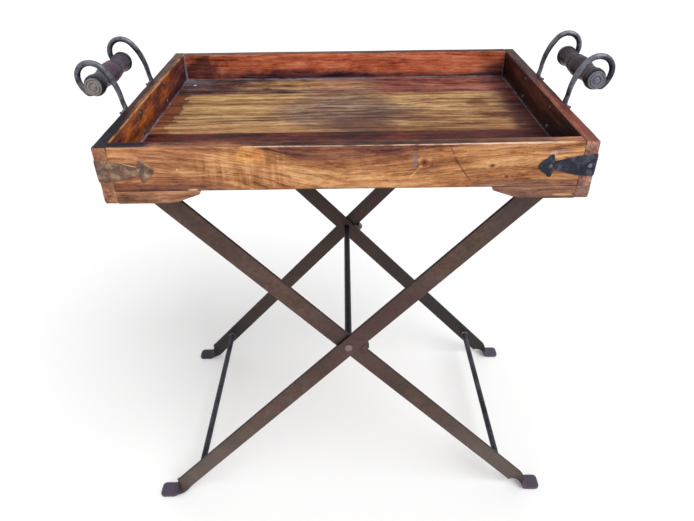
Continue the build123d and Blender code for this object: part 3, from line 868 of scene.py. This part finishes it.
leg_iron = iron("leg_iron", (48, 35, 31), (77, 58, 50), (104, 82, 72), 1, roughness=0.48,
                metal=0.15, clouds_scale=11, paint=paint_legs)
rod_iron = iron("rod_iron", (12, 11, 14), (32, 30, 36), (76, 72, 84), 2, roughness=0.42,
                metal=0.3, painted_top_light=0.12)
pivot_iron = iron("pivot_rod", (8, 7, 8), (18, 16, 17), (42, 38, 40), 2.5, metal=0.2,
                  paint=paint_pivot)
weld_iron = iron("weld", (30, 28, 30), (70, 64, 66), (136, 130, 134), 3, roughness=0.36,
                 metal=0.5, painted_top_light=0.12)
hook_iron = iron("hook_iron", (8, 8, 12), (46, 46, 54), (126, 126, 138), 4, roughness=0.3,
                 metal=0.5, painted_top_light=0.23, paint=paint_hooks)
ferrule_iron = iron("ferrule", (14, 12, 16), (38, 34, 42), (92, 88, 98), 5, roughness=0.4,
                    metal=0.35, painted_top_light=0.16)
strap_iron = iron("strap_iron", (10, 12, 20), (38, 40, 54), (108, 108, 124), 6,
                  roughness=0.4, metal=0.35, pits=2.0, clouds_scale=60)
worn_strap_iron = iron("worn_strap", (52, 36, 30), (110, 84, 68), (186, 150, 122), 7,
                       roughness=0.55, metal=0.1, pits=2.0, clouds_scale=110,
                       paint=paint_worn_strap)
nail_steel = iron("nail_steel", (38, 36, 40), (92, 88, 94), (158, 154, 160), 8,
                  roughness=0.38, paint=paint_nails)


def turned_wood():
    """Dark turned hardwood with burnt ring lines, and a painted highlight on the left grip."""
    s = Surface("turned_wood")
    fibre = s.noise(s.stretch(s.place, 260, 26, 260), 1.0, 3.0, 0.6, 2)
    blot = s.noise(s.place, 60, 3.0, 0.6, 4)
    tone = s.scaled(fibre, 0.6, s.scaled(blot, 0.7, -0.15))
    colour = s.ramp(tone, (0.25, (20, 11, 20)), (0.5, (49, 31, 44)), (0.8, (96, 72, 88)))
    from_middle = s.size(s.minus(s.y, middle("left_grip")[1] / MM))
    ends = s.steps(from_middle, 30, 42, 0.0, 0.5)
    rust = s.spot(((tray_low.x - grip_out) / MM, -6, rim + grip_up / MM + 8), (11, 6, 11), 0.8,
                  0.6, 90)
    rings = s.steps(s.math("SINE", s.times(s.y, 2 * pi / 5.5)), 0.75, 0.97)
    # The left grip, below x = 0, is painted paler and bluer: a painted highlight.
    for mask, over in ((ends, (40, 39, 50)), (s.times(0.22, s.below(s.x, 0, 10)), (106, 94, 120)),
                       (s.times(0.45, rust), (122, 54, 36)), (s.times(0.35, rings), (26, 18, 22))):
        colour = s.mix(mask, colour, over)
    s.set("Base Color", colour)
    s.set("Roughness", s.scaled(fibre, 0.25, 0.3))
    s.set("Specular IOR Level", 0.3)
    s.set("Coat Weight", 0.06)
    s.set("Coat Roughness", 0.3)
    s.bump(fibre, 0.5, 0.25)
    return s.material


grip_wood = turned_wood()


# ---------------------------------------------------------------- tray: boards and planks
def near_top(point):
    return smooth_step(point.z, rim_z - 5 * MM, rim_z - 2 * MM)


for (end, sign_y), material in zip(ENDS.items(), (front_wood, back_wood)):
    board = worn_block(f"{end}_board", 0.3, 1.7, near_top, 1 + sign_y)
    if end == "front":
        for point in board.points:
            hollow_run = 1 - min(1.0, abs(point.x - 10 * MM) / (240 * MM)) ** 2
            point.z -= 1.4 * MM * hollow_run * near_top(point)
    remake("worn", f"{end}_board", board, material)

for (side, sign_x), material in zip(SIDES.items(), (left_end_wood, right_end_wood)):
    def worn_outside(point):
        outer = smooth_step(sign_x * point.x, tray_high.x - 5 * MM, tray_high.x - 2 * MM)
        return max(near_top(point), 0.8 * outer)

    node = f"{side}_end_board"
    board = worn_block(node, 0.3, 1.9, worn_outside, 5 + sign_x)
    remake("worn", node, board, material)

for seed, (node, material) in enumerate(plank_looks.items()):
    plank = worn_block(node, 0.5, 1.0, lambda point: 0.6, 11 + seed, hollow=0.5)
    remake("worn", node, plank, material)

for side in SIDES:
    node = f"{side}_cleat"
    cleat = worn_block(node, 0.6, 2.0, lambda point: 0.8, 17)
    remake("worn", node, cleat, cleat_wood)
    node = f"{side}_foot_rail"
    rail = worn_block(node, 0.4, 2.4, lambda point: smooth_step(
        point.z, foot_bottom + 5 * MM, foot_bottom + 1 * MM), 19)
    remake("worn", node, rail, foot_rail_wood)

# ---------------------------------------------------------------- tray: brackets
bracket_flat_end = 215.0 * MM
bracket_tip = 170.0 * MM
beak_drop = 5.0 * MM
curve_mid = Vector((192.0 * MM, -12.0 * MM))
bracket_thickness = 18.0 * MM
foot_height = low_z - foot_bottom
for side, end, sign_x, sign_y in CORNERS:
    node = f"{end}_{side}_bracket"
    low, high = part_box(node)
    outer_x = max(abs(low.x), abs(high.x))
    belly, _ = tangent_arc(Vector((bracket_flat_end, -foot_height)), Vector((-1, 0)),
                           curve_mid, 8)
    outline = [(outer_x, 0), (outer_x, -foot_height), (bracket_flat_end, -foot_height),
               *belly, (bracket_tip + 2 * MM, -beak_drop), (bracket_tip, 0)]
    origin = (0, sign_y * max(abs(low.y), abs(high.y)), low_z)
    bracket = bevelled_prism(outline, origin, (sign_x, 0, 0), (0, 0, 1),
                             bracket_thickness * sign_x * sign_y, 0.7 * MM)
    remake("worn", node, bracket, foot_wood)


# ---------------------------------------------------------------- tray: corner straps
def strap_half_width(u):
    """Half width of a leaf at u from the corner: taper, bite, barb and point."""
    outline = [(0, 13.6), (10, 13.1), (20, 12.0), (30, 9.9), (38, 7.7), (44, 6.0), (46.6, 5.8),
               (47.4, 6.4), (48.0, 7.6), (48.5, 9.2), (49.0, 12.4), (49.8, 13.6), (51.5, 13.9),
               (53.4, 13.4), (55.0, 11.8), (56.2, 9.8), (58.2, 8.4), (60.8, 6.6), (63.0, 4.4),
               (64.6, 2.2), (65.5, 0.2)]
    for (u0, w0), (u1, w1) in zip(outline, outline[1:]):
        if u <= u1:
            return (w0 + (w1 - w0) * (u - u0) / (u1 - u0)) * MM
    return 0.2 * MM


def strap_shape(sign_x, sign_y, seed):
    """One bent strip of iron with a leaf on each side of the corner."""
    leaf = [0, 1.2, 2.4, 6, 11, 16, 21, 26, 31, 36, 40, 42, 44, 45.4, 46.6, 47.4, 48, 48.5, 49,
            49.8, 50.6, 51.5, 52.5, 53.4, 54.2, 55, 56.2, 57.2, 58.2, 59.5, 60.8, 63, 64.6, 65.5]
    lanes = [-1, -0.93, -0.7, -0.4, 0, 0.4, 0.7, 0.93, 1]
    bend = 2.4 * MM
    corner = Vector((sign_x * tray_high.x, sign_y * tray_high.y, strap_z))
    along_length = Vector((-sign_x, 0, 0))
    along_depth = Vector((0, -sign_y, 0))
    centre = corner + (along_length + along_depth) * bend

    def place(u, v, lift):
        if abs(u) <= bend:
            angle = radians(45) * (1 - u / bend)
            out = -along_depth * cos(angle) - along_length * sin(angle)
            return centre + out * (bend + lift) + Vector((0, 0, v))
        run, face = (along_length, -along_depth) if u > 0 else (along_depth, -along_length)
        return corner + run * abs(u) + face * lift + Vector((0, 0, v))

    points = []
    for u_mm in [-u for u in reversed(leaf[1:])] + leaf:
        u = u_mm * MM
        half = strap_half_width(abs(u_mm))
        for lane in lanes:
            edge = 0.45 if abs(lane) == 1 else 0.85 if abs(lane) > 0.9 else 1.0
            v = lane * half * (1 + 0.03 * noise.noise(Vector((u * 90, lane * 3, seed))))
            dent = 0.16 * MM * noise.noise(Vector((u * 230, v * 230, seed * 5.0)))
            points.append(place(u, v, strap_thickness * edge - 0.16 * MM + dent))
        points += [place(u, lane * half, 0.0) for lane in reversed(lanes)]
    return Shape(points, tube_faces(2 * len(leaf) - 1, 2 * len(lanes)))


def remake_steel(how, node, shape, sharp=50):
    remake(how, node, shape, nail_steel, sharp)


nail_heads = Shape()
for seed, (side, end, sign_x, sign_y) in enumerate(CORNERS, start=1):
    node = f"{end}_{side}_strap"
    look = worn_strap_iron if side == "left" else strap_iron
    remake("forged", node, strap_shape(sign_x, sign_y, seed), look)
    for run, face in ((Vector((-sign_x, 0, 0)), Vector((0, sign_y, 0))),
                      (Vector((0, -sign_y, 0)), Vector((sign_x, 0, 0)))):
        for distance in strap_nails_at:
            base = Vector((sign_x * tray_high.x, sign_y * tray_high.y, strap_z))
            base += run * distance + face * strap_thickness
            profile = [(-5, 0.2), (-4, 0.9), (-0.2, 1.0), (-0.1, 2.5)] + dome(2.5, 1.15)
            nail_heads.add(lathe(base, face, profile, 10, 0.14, seed + distance * 99,
                                 seed * 0.7))
remake_steel("hammered", "strap_nails", nail_heads)


# ---------------------------------------------------------------- tray: nails
def nail(head, axis, length, seed):
    profile = [(-length, 0.2), (3 - length, 1.1), (-0.1, 1.1), (0, 2.4)] + dome(2.4, 0.55, 3)
    return lathe(head, axis, profile, 12, 0.1, seed)


nail_drops = (8.0 * MM, 48.0 * MM)
wall_nails = Shape()
for _, _, sign_x, sign_y in CORNERS:
    for drop in nail_drops:
        head = (sign_x * tray_high.x, sign_y * (tray_high.y - wall / 2), rim_z - drop)
        wall_nails.add(nail(head, (sign_x, 0, 0), 40, drop * 400 + sign_y))
remake_steel("driven", "corner_nails", wall_nails)

under_nails = Shape()
cleat_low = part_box("left_cleat")[0].z
cleat_x = abs(middle("left_cleat")[0])
rail_x = tray_high.x - wall / 2
bracket_y = tray_high.y - bracket_thickness / 2
signs = (-1, 1)
under_places = [(sign_x * rail_x, y * MM, foot_bottom, 34)
                for sign_x in signs for y in (-140, 0, 140)]
under_places += [(sign_x * cleat_x, y * MM, cleat_low, 20)
                 for sign_x in signs for y in (-150, -80, 20, 150)]
under_places += [(sign_x * x * MM, sign_y * bracket_y, foot_bottom, 32)
                 for sign_x in signs for sign_y in signs for x in (222, 240)]
for index, (*head, length) in enumerate(under_places):
    under_nails.add(nail(head, (0, 0, -1), length, index))
remake_steel("driven", "underside_nails", under_nails)

# ---------------------------------------------------------------- handles
hook_y = {end: middle(f"left_{end}_hook")[1] for end in ENDS}
hook_turns = [Vector((x * MM, z * MM)) for x, z in
              ((8.5, 30.0), (20.0, 50.0), (35.0, 57.0), (53.5, 38.0), (44.5, 18.5))]
paddle_foot = 44.0 * MM
paddle_half = 6.5 * MM
disc_radius = 11.5
disc_thickness = 4.0


def hook_shape(sign_x, y, sign_y, seed):
    """Flat foot, tapering bar and flattened eye of one forged hook."""
    across = Vector((0, 1, 0))

    def place(flat):
        return Vector((sign_x * (tray_high.x + flat.x), y, rim_z + flat.y))

    line = [Vector((paddle_thickness / 2, -paddle_foot + d * MM))
            for d in (0.3, 0.9, 2.0, 3.5, 6.5, 12, 18, 24, 30, 36, 40)]
    line += [Vector((paddle_thickness / 2, -2 * MM)), Vector((2.4 * MM, 1 * MM)),
             Vector((3.1 * MM, 4 * MM))]
    heading = Vector((0, 1))
    start = Vector((hook_bar / 2, 3 * MM))
    curve = []
    for turn in hook_turns:
        points, heading = tangent_arc(start, heading, turn, 9)
        curve += points
        start = turn
    centre = Vector((grip_out, grip_up))
    curve += [centre + Matrix.Rotation(-0.95 * share, 2) @ (start - centre) * (1 - 0.5 * share)
              for share in (0.25, 0.5, 0.75, 1.0)]
    line += curve[1:]
    last = len(line) - 1
    stations = []
    for index, flat in enumerate(line):
        ahead = (line[min(last, index + 1)] - line[max(0, index - 1)]).normalized()
        ahead = Vector((sign_x * ahead.x, 0, ahead.y))
        out = ahead.cross(across).normalized()
        if index < 14:
            half_y = paddle_half
            from_foot = flat.y + paddle_foot
            if from_foot < paddle_half:
                squared = paddle_half ** 2 - (paddle_half - from_foot) ** 2
                half_y = sqrt(max(0.1 * MM ** 2, squared))
            narrowing = smooth_step(flat.y, -12 * MM, 5 * MM)
            half_y += (3.5 * MM - half_y) * narrowing
            half_x = paddle_thickness / 2 + 0.9 * MM * narrowing
            radius = 1.1 * MM + 1.6 * MM * narrowing
        else:
            rise = smooth_step(flat.y if index < 24 else 1.0, 5 * MM, 40 * MM)
            half_x = 2.9 * MM + 0.85 * MM * rise
            half_x *= 1 - 0.5 * smooth_step(index, last - 5, last)
            half_y = 3.5 * MM + 0.25 * MM * rise
            radius = half_x
            if index > 40:
                squeeze = smooth_step((flat - centre).length, 20 * MM, 13.5 * MM)
                half_y += ((disc_thickness / 2 - 0.1) * MM - half_y) * squeeze
        stations.append((place(flat), across, out, half_y, half_x, radius))
    face = disc_thickness / 2
    profile = [(-face, 2.7), (-face, disc_radius - 0.5), (0.5 - face, disc_radius),
               (face - 0.6, disc_radius), (face - 0.1, disc_radius - 0.7), (face - 0.1, 9.3),
               (face - 0.7, 8.8), (face - 0.1, 8.3), (face, 5.4), (face - 0.6, 4.9),
               (face, 4.4), (face, 2.7)]
    shape = sweep(stations)
    shape.add(lathe(place(centre), (0, sign_y, 0), profile, 40, 0.02, seed))
    return shape.roughen(0.12 * MM, 160, seed)


for side, end, sign_x, sign_y in CORNERS:
    shape = hook_shape(sign_x, hook_y[end], sign_y, 3 * sign_x + sign_y)
    remake("forged", f"{side}_{end}_hook", shape, hook_iron, sharp=50)


def grip_profile(half):
    """Radii along a grip: ferrule seat, cove, ring, groove and belly, with turned lines."""
    profile = []
    steps = 120
    for step in range(steps + 1):
        y = (-1 + 2 * step / steps) * half
        d = abs(y)
        if d < 10:
            radius = 13.4 + 0.8 * cos(pi / 2 * d / 10)
        elif d < 14:
            radius = 13.4 - 0.9 * sin(pi * (d - 10) / 4)
        else:
            t = (d - 14) / (half - 14)
            radius = 13.4 - 1.6 * sin(pi * min(1, t * 1.15)) ** 0.9 * 0.9 - 0.9 * t
        for place in (4.2, 6.4, 17.5, 20.0, 31.0, 33.2, 44.0):
            radius -= 0.38 * 2.718 ** (-((d - place) / 0.45) ** 2)
        profile.append((y, radius))
    return profile


def half_depth(node):
    low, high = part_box(node)
    return (high.y - low.y) / 2 / MM


grip_y = (hook_y["front"] + hook_y["back"]) / 2
for side, sign_x in SIDES.items():
    origin = (sign_x * (tray_high.x + grip_out), grip_y, rim_z + grip_up)
    end = half_depth(f"{side}_ferrules")
    seat = end - 7.0
    half = seat + 0.3
    turned = lathe(origin, ALONG_Y, [(-half, 1)] + grip_profile(half) + [(half, 1)], 48)
    remake("turned", f"{side}_grip", turned, grip_wood)
    ferrules = Shape()
    profile = [(seat, 11.5), (seat, 13.3), (seat + 0.5, 13.75), (seat + 1.6, 13.6),
               (seat + 2.0, 13.3), (seat + 2.4, 13.6), (end - 2.4, 13.75), (end - 0.9, 13.2),
               (end, 11.6), (end, 2.6)]
    for sign_y in signs:
        ferrules.add(lathe(origin, (0, sign_y, 0), profile, 48, 0.012, sign_y + sign_x))
    remake("forged", f"{side}_ferrules", ferrules, ferrule_iron)
    node = f"{side}_grip_rod"
    half = half_depth(node) - 1
    half_rod = [(half, grip_rod_radius)] + [(half + d, r) for d, r in dome(3.4, 0.95, 4)]
    rod = lathe(origin, ALONG_Y, mirrored(half_rod), 20, 0.04, 3)
    remake("peened", node, rod, hook_iron)

screw_drops = (8.0 * MM, 34.0 * MM)
screw_radius = 2.0
length = (abs(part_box("handle_screws")[1].x) - inner_high.x) / MM
ridge = 0.8
threads = []
along = (wall + paddle_thickness) / MM
while along < length - 1.2:
    threads += [(along, screw_radius), (along + ridge / 2, screw_radius - 0.35)]
    along += ridge
profile = [(-1.4, 0.8), (-1.2, 2.0), (-0.7, 2.8), (-0.2, 3.1), (0.1, 3.0),
           (1.9, screw_radius), *threads, (length - 0.8, screw_radius - 0.1),
           (length - 0.3, screw_radius - 0.5), (length, screw_radius - 0.9)]
half = 0.93 * 3.5 * MM
square = [(half, half), (-half, half), (-half, -half), (half, -half)]
screws = Shape()
nuts = Shape()
turn = 0.0
for sign_x in signs:
    for y in hook_y.values():
        for drop in screw_drops:
            turn += 0.9
            head = (sign_x * inner_high.x, y, rim_z - drop)
            screws.add(lathe(head, (sign_x, 0, 0), profile, 20, 0.03, turn))
            face = (sign_x * (tray_high.x + paddle_thickness), y, rim_z - drop)
            spin = Matrix.Rotation(turn, 3, "X")
            nuts.add(bevelled_prism(square, face, spin @ Vector((0, 1, 0)),
                                    spin @ Vector((0, 0, 1)), 3.2 * MM * sign_x, 0.5 * MM))
remake_steel("threaded", "handle_screws", screws)
remake_steel("square", "handle_nuts", nuts, sharp=35)

# ---------------------------------------------------------------- stand: legs
leg_cos = cos(leg_angle)
leg_sin = sin(leg_angle)
corner_at = (pivot_z - bar_thickness / 2) / leg_sin
bend_start = corner_at - foot_bend_radius * tan(leg_angle / 2)
twist_start = bend_start - twist_length
top_rod_at = (middle("outer_top_rod")[2] - pivot_z) / leg_sin


def leg_shape(foot_side, y, pad_end):
    """A flat bar with a quarter twist and a flat, rounded foot pad; wear_leg cuts its top level.
    """
    down = Vector((foot_side * leg_cos, 0, -leg_sin))
    upper = Vector((foot_side * leg_sin, 0, leg_cos))
    cross = Vector((0, -foot_side, 0))
    pivot = Vector((0, y, pivot_z))
    half_w = bar_width / 2
    half_t = bar_thickness / 2
    stations = []

    def station(centre, wide, ahead, width=half_w, thin=1.0):
        stations.append((centre, wide, ahead.cross(wide), width, half_t * thin, 0.9 * MM))

    head_at = -(top_rod_at + leg_end_beyond_rod)
    straight = 34
    for step in range(straight + 1):
        along = head_at + (twist_start - head_at) * step / straight
        station(pivot + down * along, upper, down)
    twists = 14
    for step in range(1, twists + 1):
        t = step / twists
        turn = radians(90) * (t * t * (3 - 2 * t))
        along = twist_start + twist_length * t
        station(pivot + down * along, upper * cos(turn) + cross * sin(turn), down)
    inward = down.cross(cross)
    if inward.z < 0:
        inward = -inward
    centre = pivot + down * bend_start + inward * foot_bend_radius
    bends = 7
    for step in range(1, bends + 1):
        tilt = leg_angle - leg_angle * step / bends
        heading = Vector((foot_side * cos(tilt), 0, -sin(tilt)))
        rise = Vector((foot_side * sin(tilt), 0, cos(tilt)))
        station(centre - rise * foot_bend_radius, cross, heading)
    last = stations[-1][0]
    run = pad_end - abs(last.x)
    for share in (0.2, 0.4, 0.6, 0.72, 0.8, 0.87, 0.93, 0.975, 1.0):
        end = run * (1 - share)
        width = half_w
        if end < foot_pad_round:
            width -= foot_pad_round - sqrt(foot_pad_round ** 2 - (foot_pad_round - end) ** 2)
        station(Vector((last.x + foot_side * run * share, y, last.z)), cross,
                Vector((foot_side, 0, 0)), width, 1.0 if share < 0.99 else 0.7)
    return sweep(stations), down


def wear_leg(shape, down, y, seed):
    """Thin the bar a little, unevenly, and cut its top level."""
    offset = Vector((seed * 3.3, seed * 1.9, 0))
    for point in shape.points:
        core = Vector((point.x, y, point.z))
        swing = noise.noise(point * 30 + offset)
        if point.z > 12 * MM:
            point += (core - point) * 0.015 * (0.5 + 0.5 * swing)
        if point.z > stand_top:
            point += down * ((point.z - stand_top) / leg_sin)


leg_frames = {"outer": -1, "inner": 1}
for name, foot_side in leg_frames.items():
    for end, sign_y in ENDS.items():
        node = f"{name}_{end}_leg"
        low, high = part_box(node)
        y = middle(node)[1]
        leg, down = leg_shape(foot_side, y, high.x if foot_side > 0 else -low.x)
        wear_leg(leg, down, y, foot_side + 3 * sign_y)
        remake("forged", node, leg, leg_iron)


# ---------------------------------------------------------------- stand: rods and welds
def weld_bead(centre, start, end, seed):
    """A lumpy fillet of weld metal round part of a rod's end."""
    ring = rod_radius * MM + 0.6 * MM
    stations = []
    steps = 40
    for step in range(steps + 1):
        angle = start + (end - start) * step / steps
        out = Vector((cos(angle), 0, sin(angle)))
        ripple = 1 + 0.22 * sin(angle * 9) + 0.25 * noise.noise(Vector((angle * 2, seed, 0)))
        if step in (0, steps):
            ripple *= 0.3
        bead = 1.7 * MM * ripple
        stations.append((centre + out * ring, Vector(ALONG_Y), out, bead, bead, bead))
    return sweep(stations)


for name, foot_side in leg_frames.items():
    for rod_name in ("top", "lower"):
        node = f"{name}_{rod_name}_rod"
        low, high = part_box(node)
        centre = (low + high) / 2
        half = half_depth(node)
        steps = 24
        profile = [(half * (-1 + 2 * step / steps), rod_radius - 0.1)
                   for step in range(steps + 1)]
        rod = lathe(centre, ALONG_Y, profile, 24).roughen(0.12 * MM, 40, foot_side + 2)
        remake("drawn", node, rod, rod_iron)
        start, end = (0, 2 * pi) if rod_name == "lower" else (radians(200), radians(340))
        welds = Shape()
        for sign_y in signs:
            at = centre + Vector((0, sign_y * (half - 1.2) * MM, 0))
            welds.add(weld_bead(at, start, end, sign_y + foot_side))
        add_piece(f"{node}_welds", welds, weld_iron, body_of(node))

low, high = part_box("pivot_rod")
spindle = 4.0
inner_span = (abs(middle("inner_front_leg")[1]) - bar_thickness / 2) / MM
head_base = high.y / MM - 3.0
half_rod = [(inner_span, rod_radius), (inner_span, spindle), (head_base, spindle),
            (head_base, 5.8)] + [(head_base + d, r) for d, r in dome(5.9, 2.9)]
pivot_shape = lathe((low + high) / 2, ALONG_Y, mirrored(half_rod, (0, rod_radius)), 28, 0.03, 5)
remake("riveted", "pivot_rod", pivot_shape, pivot_iron)

for end, look in zip(ENDS, (leg_iron, weld_iron)):
    frame["nodes"][f"{end}_stop_lug"].data.materials[0] = look

# ---------------------------------------------------------------- studio
scene_objects = bpy.context.scene.collection.objects
half = 9.0
floor_mesh = bpy.data.meshes.new("studio_floor")
floor_mesh.from_pydata([(-half, -half, 0), (half, -half, 0), (half, half, 0),
                        (-half, half, 0)], [], [(0, 1, 2, 3)])
floor = bpy.data.objects.new("studio_floor", floor_mesh)
scene_objects.link(floor)
floor_look = Surface("studio_floor")
for name, value in (("Base Color", (240, 240, 240)), ("Emission Color", (255, 255, 255)),
                    ("Emission Strength", 0.08), ("Roughness", 0.9),
                    ("Specular IOR Level", 0.1)):
    floor_look.set(name, value)
floor_mesh.materials.append(floor_look.material)

world = bpy.data.worlds.new("studio_world")
bpy.context.scene.world = world
world.use_nodes = True
background = world.node_tree.nodes["Background"]
background.inputs["Color"].default_value = (1, 1, 1, 1)
background.inputs["Strength"].default_value = 0.74

sun = bpy.data.lights.new("key_light", "SUN")
sun.energy = 1.65
sun.angle = radians(42)
lamp = bpy.data.objects.new("key_light", sun)
scene_objects.link(lamp)
lamp.rotation_mode = "QUATERNION"
lamp.rotation_quaternion = Vector((-0.42, 0.44, -0.79)).to_track_quat("-Z", "Y")

# ---------------------------------------------------------------- camera
camera_place = Vector((-0.0004, -0.8079, 0.9201))
pitch = radians(34.04)
roll = radians(-0.772)
ahead = Vector((0, cos(pitch), -sin(pitch)))
right = Vector((1, 0, 0))
up = right.cross(ahead)
camera_data = bpy.data.cameras.new("camera")
camera_data.sensor_width = 36.0
camera_data.lens = 30.05
camera = bpy.data.objects.new("camera", camera_data)
scene_objects.link(camera)
turned = Matrix((right * cos(roll) + up * sin(roll), up * cos(roll) - right * sin(roll),
                 -ahead)).transposed()
camera.matrix_world = Matrix.Translation(camera_place) @ turned.to_4x4()
bpy.context.scene.camera = camera
bpy.context.scene.view_settings.view_transform = "Standard"
